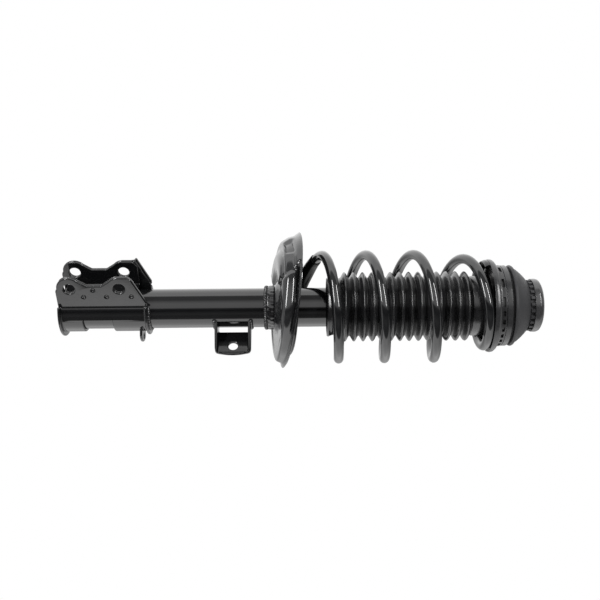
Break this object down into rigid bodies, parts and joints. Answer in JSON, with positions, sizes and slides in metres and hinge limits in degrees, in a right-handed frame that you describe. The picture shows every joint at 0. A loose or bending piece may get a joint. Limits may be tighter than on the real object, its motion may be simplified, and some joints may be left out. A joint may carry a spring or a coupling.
{
  "type": "suspension strut assembly",
  "caption": "Front suspension strut with a clevis knuckle bracket, stabiliser link bracket, coil spring on a dished seat, convoluted dust boot and rubber top mount with turning bearing.",
  "frame": {"origin": "on the strut axis at the lower end of the damper tube", "axes": "+Z along the strut axis towards the top mount, +X the way the knuckle bracket ears point, +Y along the knuckle bolts"},
  "size_m": [0.1747, 0.177, 0.621],
  "materials": {
    "gloss_black_paint": "gloss black enamel",
    "weld_bead": "painted weld",
    "spring_coating": "satin black powder coat",
    "seat_coating": "satin black coat",
    "sleeve_rubber": "smooth black rubber",
    "boot_rubber": "semi-matt black rubber",
    "mount_rubber": "matt dark grey rubber",
    "bump_foam": "closed-cell foam",
    "stop_rubber": "matt rubber",
    "cup_coating": "satin black coat",
    "zinc_steel": "zinc plated",
    "rod_chrome": "hard chrome, polished",
    "bare_steel": "plain steel",
    "bearing_steel": "polished steel",
    "bearing_plastic": "moulded black nylon",
    "low_friction_lining": "bronze-filled lining"
  },
  "bodies": {
    "strut_body": {"reserve_tube": "gloss_black_paint", "tube_base_cap": "gloss_black_paint", "tube_end_cap": "gloss_black_paint", "pressure_tube": "bare_steel", "base_valve_body": "bare_steel", "base_valve_disc": "bare_steel", "base_valve_rivet": "bare_steel", "rod_guide": "bare_steel", "rod_guide_bush": "low_friction_lining", "rod_seal": "stop_rubber", "knuckle_bracket": "gloss_black_paint", "bracket_brace": "gloss_black_paint", "bracket_weld": "weld_bead", "hose_bracket": "gloss_black_paint", "link_bracket": "gloss_black_paint", "link_weld_low": "weld_bead", "link_weld_high": "weld_bead", "lower_spring_seat": "gloss_black_paint", "seat_collar": "gloss_black_paint", "seat_weld": "weld_bead", "lower_insulator": "sleeve_rubber", "coil_spring": "spring_coating"},
    "spring_seat": {"upper_spring_seat": "seat_coating", "upper_insulator": "sleeve_rubber", "bearing_lower_race": "bearing_steel", "dust_boot": "boot_rubber"},
    "ball_cage": {"bearing_cage": "bearing_plastic", "bearing_balls": "bearing_steel"},
    "top_mount": {"bearing_upper_race": "bearing_steel", "bearing_cover": "bearing_plastic", "mount_insert": "zinc_steel", "mount_core": "zinc_steel", "mount_rubber": "mount_rubber", "rebound_cushion": "mount_rubber", "rebound_cup": "cup_coating", "top_nut": "zinc_steel", "piston_rod": "rod_chrome", "piston": "bare_steel", "piston_band": "low_friction_lining", "rebound_discs": "bare_steel", "compression_discs": "bare_steel", "piston_nut": "zinc_steel", "rebound_stop_collar": "zinc_steel", "rebound_stop_ring": "stop_rubber", "bump_stop_retainer": "zinc_steel", "bump_stop": "bump_foam"}
  },
  "joints": [
    {"name": "strut_travel", "type": "slide", "parent": "strut_body", "child": "spring_seat", "axis": [0, 0, 1], "range_m": [-0.14, 0], "stiffness_N_per_m": 25000, "springref_m": 0.08, "deforming": ["coil_spring", "dust_boot", "bump_stop"]},
    {"name": "mount_turn", "type": "hinge", "parent": "spring_seat", "child": "top_mount", "pos_m": [0, 0, 0.566], "axis": [0, 0, 1], "continuous": true},
    {"name": "cage_turn", "type": "hinge", "parent": "spring_seat", "child": "ball_cage", "pos_m": [0, 0, 0.566], "axis": [0, 0, 1], "continuous": true}
  ],
  "couplings": [
    {"joint": "cage_turn", "follows": "mount_turn", "ratio": 0.5}
  ]
}
